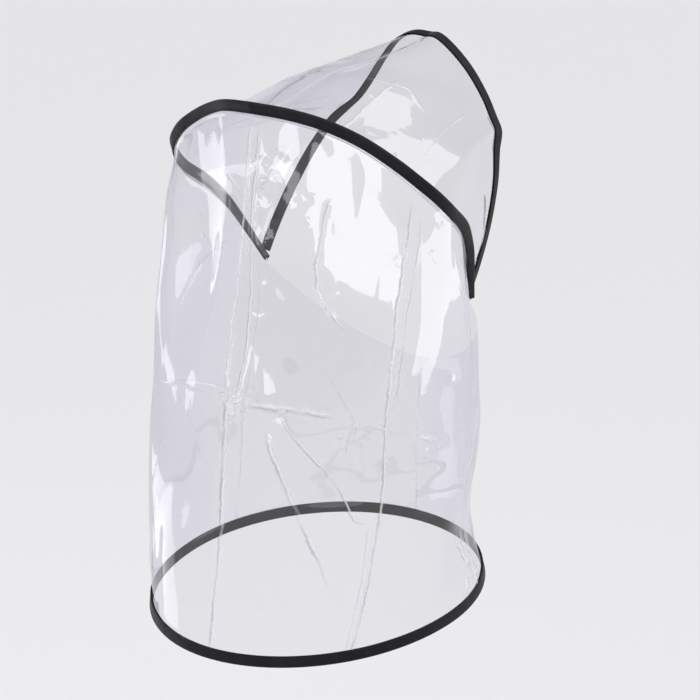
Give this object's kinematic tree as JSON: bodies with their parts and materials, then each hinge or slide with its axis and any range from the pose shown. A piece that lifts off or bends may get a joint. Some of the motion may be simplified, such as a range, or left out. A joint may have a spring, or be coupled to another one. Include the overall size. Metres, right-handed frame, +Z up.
{
  "type": "rain bonnet",
  "caption": "Clear film rain bonnet with a peaked crown panel and a long drape down over the neck, its brim, crown seam and hem bound in narrow black tape.",
  "frame": {"origin": "where the underside of the crown panel rests on the top of the head", "axes": "+Z up, +Y to the back of the bonnet, -Y towards the face, +X to the wearer's left ear"},
  "size_m": [0.2386, 0.289, 0.3721],
  "materials": {
    "clear_film": "clear glossy film with a faint lavender tint and packing creases",
    "binding_tape": "black woven binding tape, folded over the edge and stitched"
  },
  "bodies": {
    "root": {"crown_panel": "clear_film", "back_drape": "clear_film", "brim_binding": "binding_tape", "seam_binding": "binding_tape", "hem_binding": "binding_tape"}
  },
  "joints": []
}
